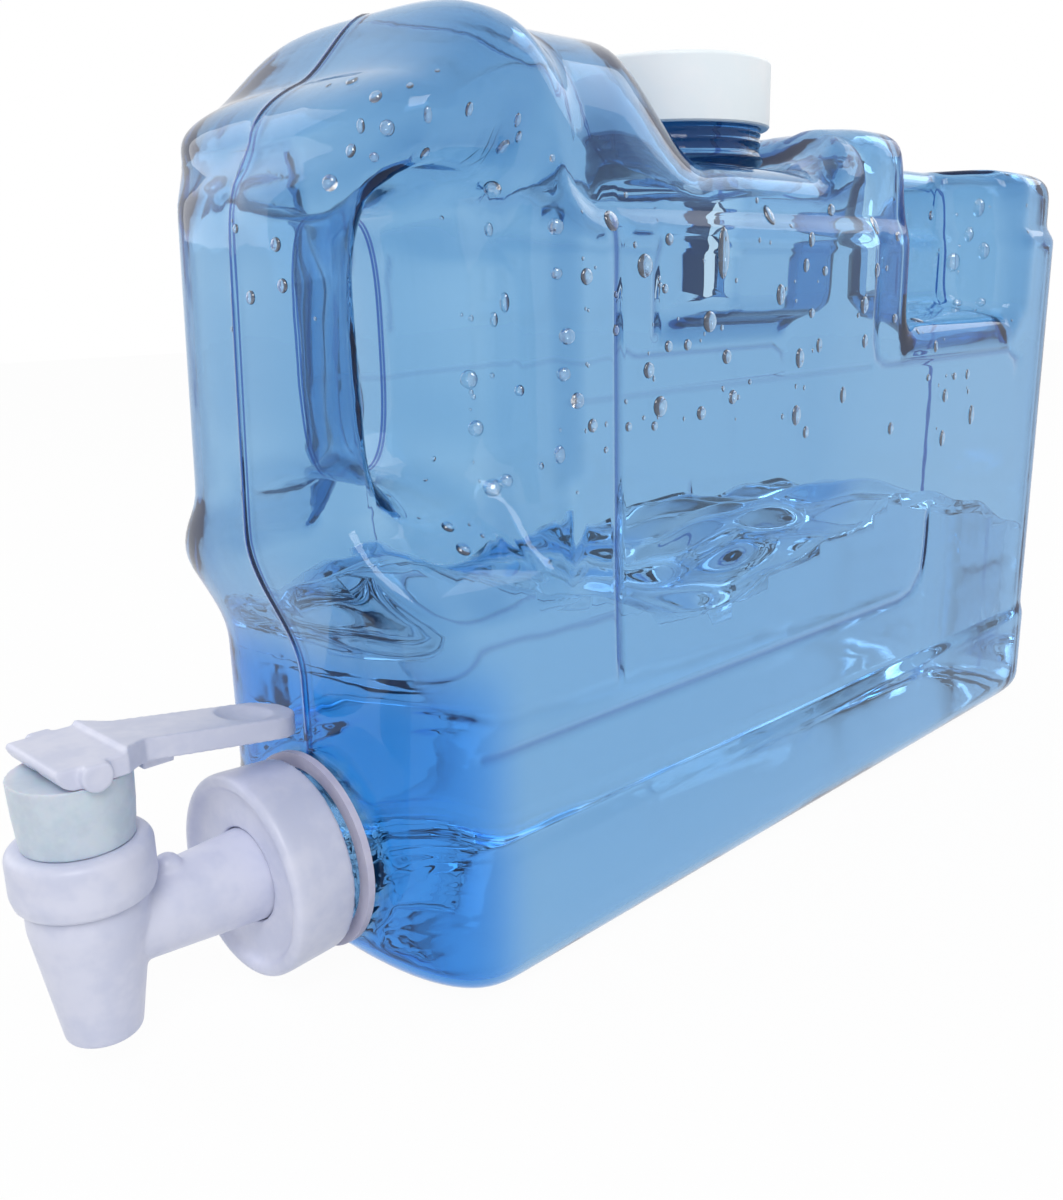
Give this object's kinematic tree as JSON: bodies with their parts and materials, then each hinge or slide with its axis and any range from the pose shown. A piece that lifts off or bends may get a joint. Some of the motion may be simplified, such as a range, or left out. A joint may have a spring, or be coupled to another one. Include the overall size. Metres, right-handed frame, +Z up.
{
  "type": "fridge drink dispenser",
  "caption": "Slim translucent blown water bottle with a grip hole in its front column, a wide screw cap and a lever tap low on its front, for a fridge shelf.",
  "frame": {"origin": "centre of the bottle's flat base face, on the surface that it stands on", "axes": "+Z up, +Y from the tap towards the rear of the bottle, +X across its width, so the tap points along -Y"},
  "size_m": [0.14, 0.5224, 0.303],
  "materials": {
    "bottle": "translucent light blue, smooth with soft ripples",
    "cap": "satin bluish white",
    "liner": "soft white foam",
    "washer": "pale pinkish white, soft",
    "tap": "white, semi-gloss",
    "sleeve": "slightly translucent greenish white",
    "silicone": "translucent, soft"
  },
  "bodies": {
    "vessel": {"bottle": "bottle", "port_washer": "washer", "collar": "tap", "flange_gasket": "silicone", "tap_body": "tap", "bonnet_ring": "tap", "seat_cup": "silicone"},
    "cap_seal": {"cap_liner": "liner"},
    "cap": {"screw_cap": "cap"},
    "head": {"sleeve": "sleeve"},
    "valve": {"stem": "tap", "lever_pin": "tap"},
    "handle": {"lever": "tap"}
  },
  "joints": [
    {"name": "cap_lift", "type": "slide", "parent": "vessel", "child": "cap_seal", "axis": [0, 0, 1], "range_m": [0, 0.024]},
    {"name": "cap_turn", "type": "hinge", "parent": "cap_seal", "child": "cap", "pos_m": [0, -0.0255, 0.29], "axis": [0, 0, 1], "range_deg": [0, 1080]},
    {"name": "lever_swivel", "type": "hinge", "parent": "vessel", "child": "head", "pos_m": [0, -0.2945, 0.07], "axis": [0, 0, 1], "continuous": true},
    {"name": "stem_lift", "type": "slide", "parent": "head", "child": "valve", "axis": [0, 0, 1], "range_m": [0, 0.00655], "deforming": ["seat_cup"]},
    {"name": "lever_tip", "type": "hinge", "parent": "valve", "child": "handle", "pos_m": [0, -0.2945, 0.0964], "axis": [1, 0, 0], "range_deg": [0, 75], "stiffness_Nm_per_rad": 0.01, "springref_deg": -22.92}
  ],
  "couplings": [
    {"joint": "cap_lift", "follows": "cap_turn", "m_per_rad": 0.0012732},
    {"joint": "stem_lift", "follows": "lever_tip", "m_per_rad": 0.005}
  ]
}
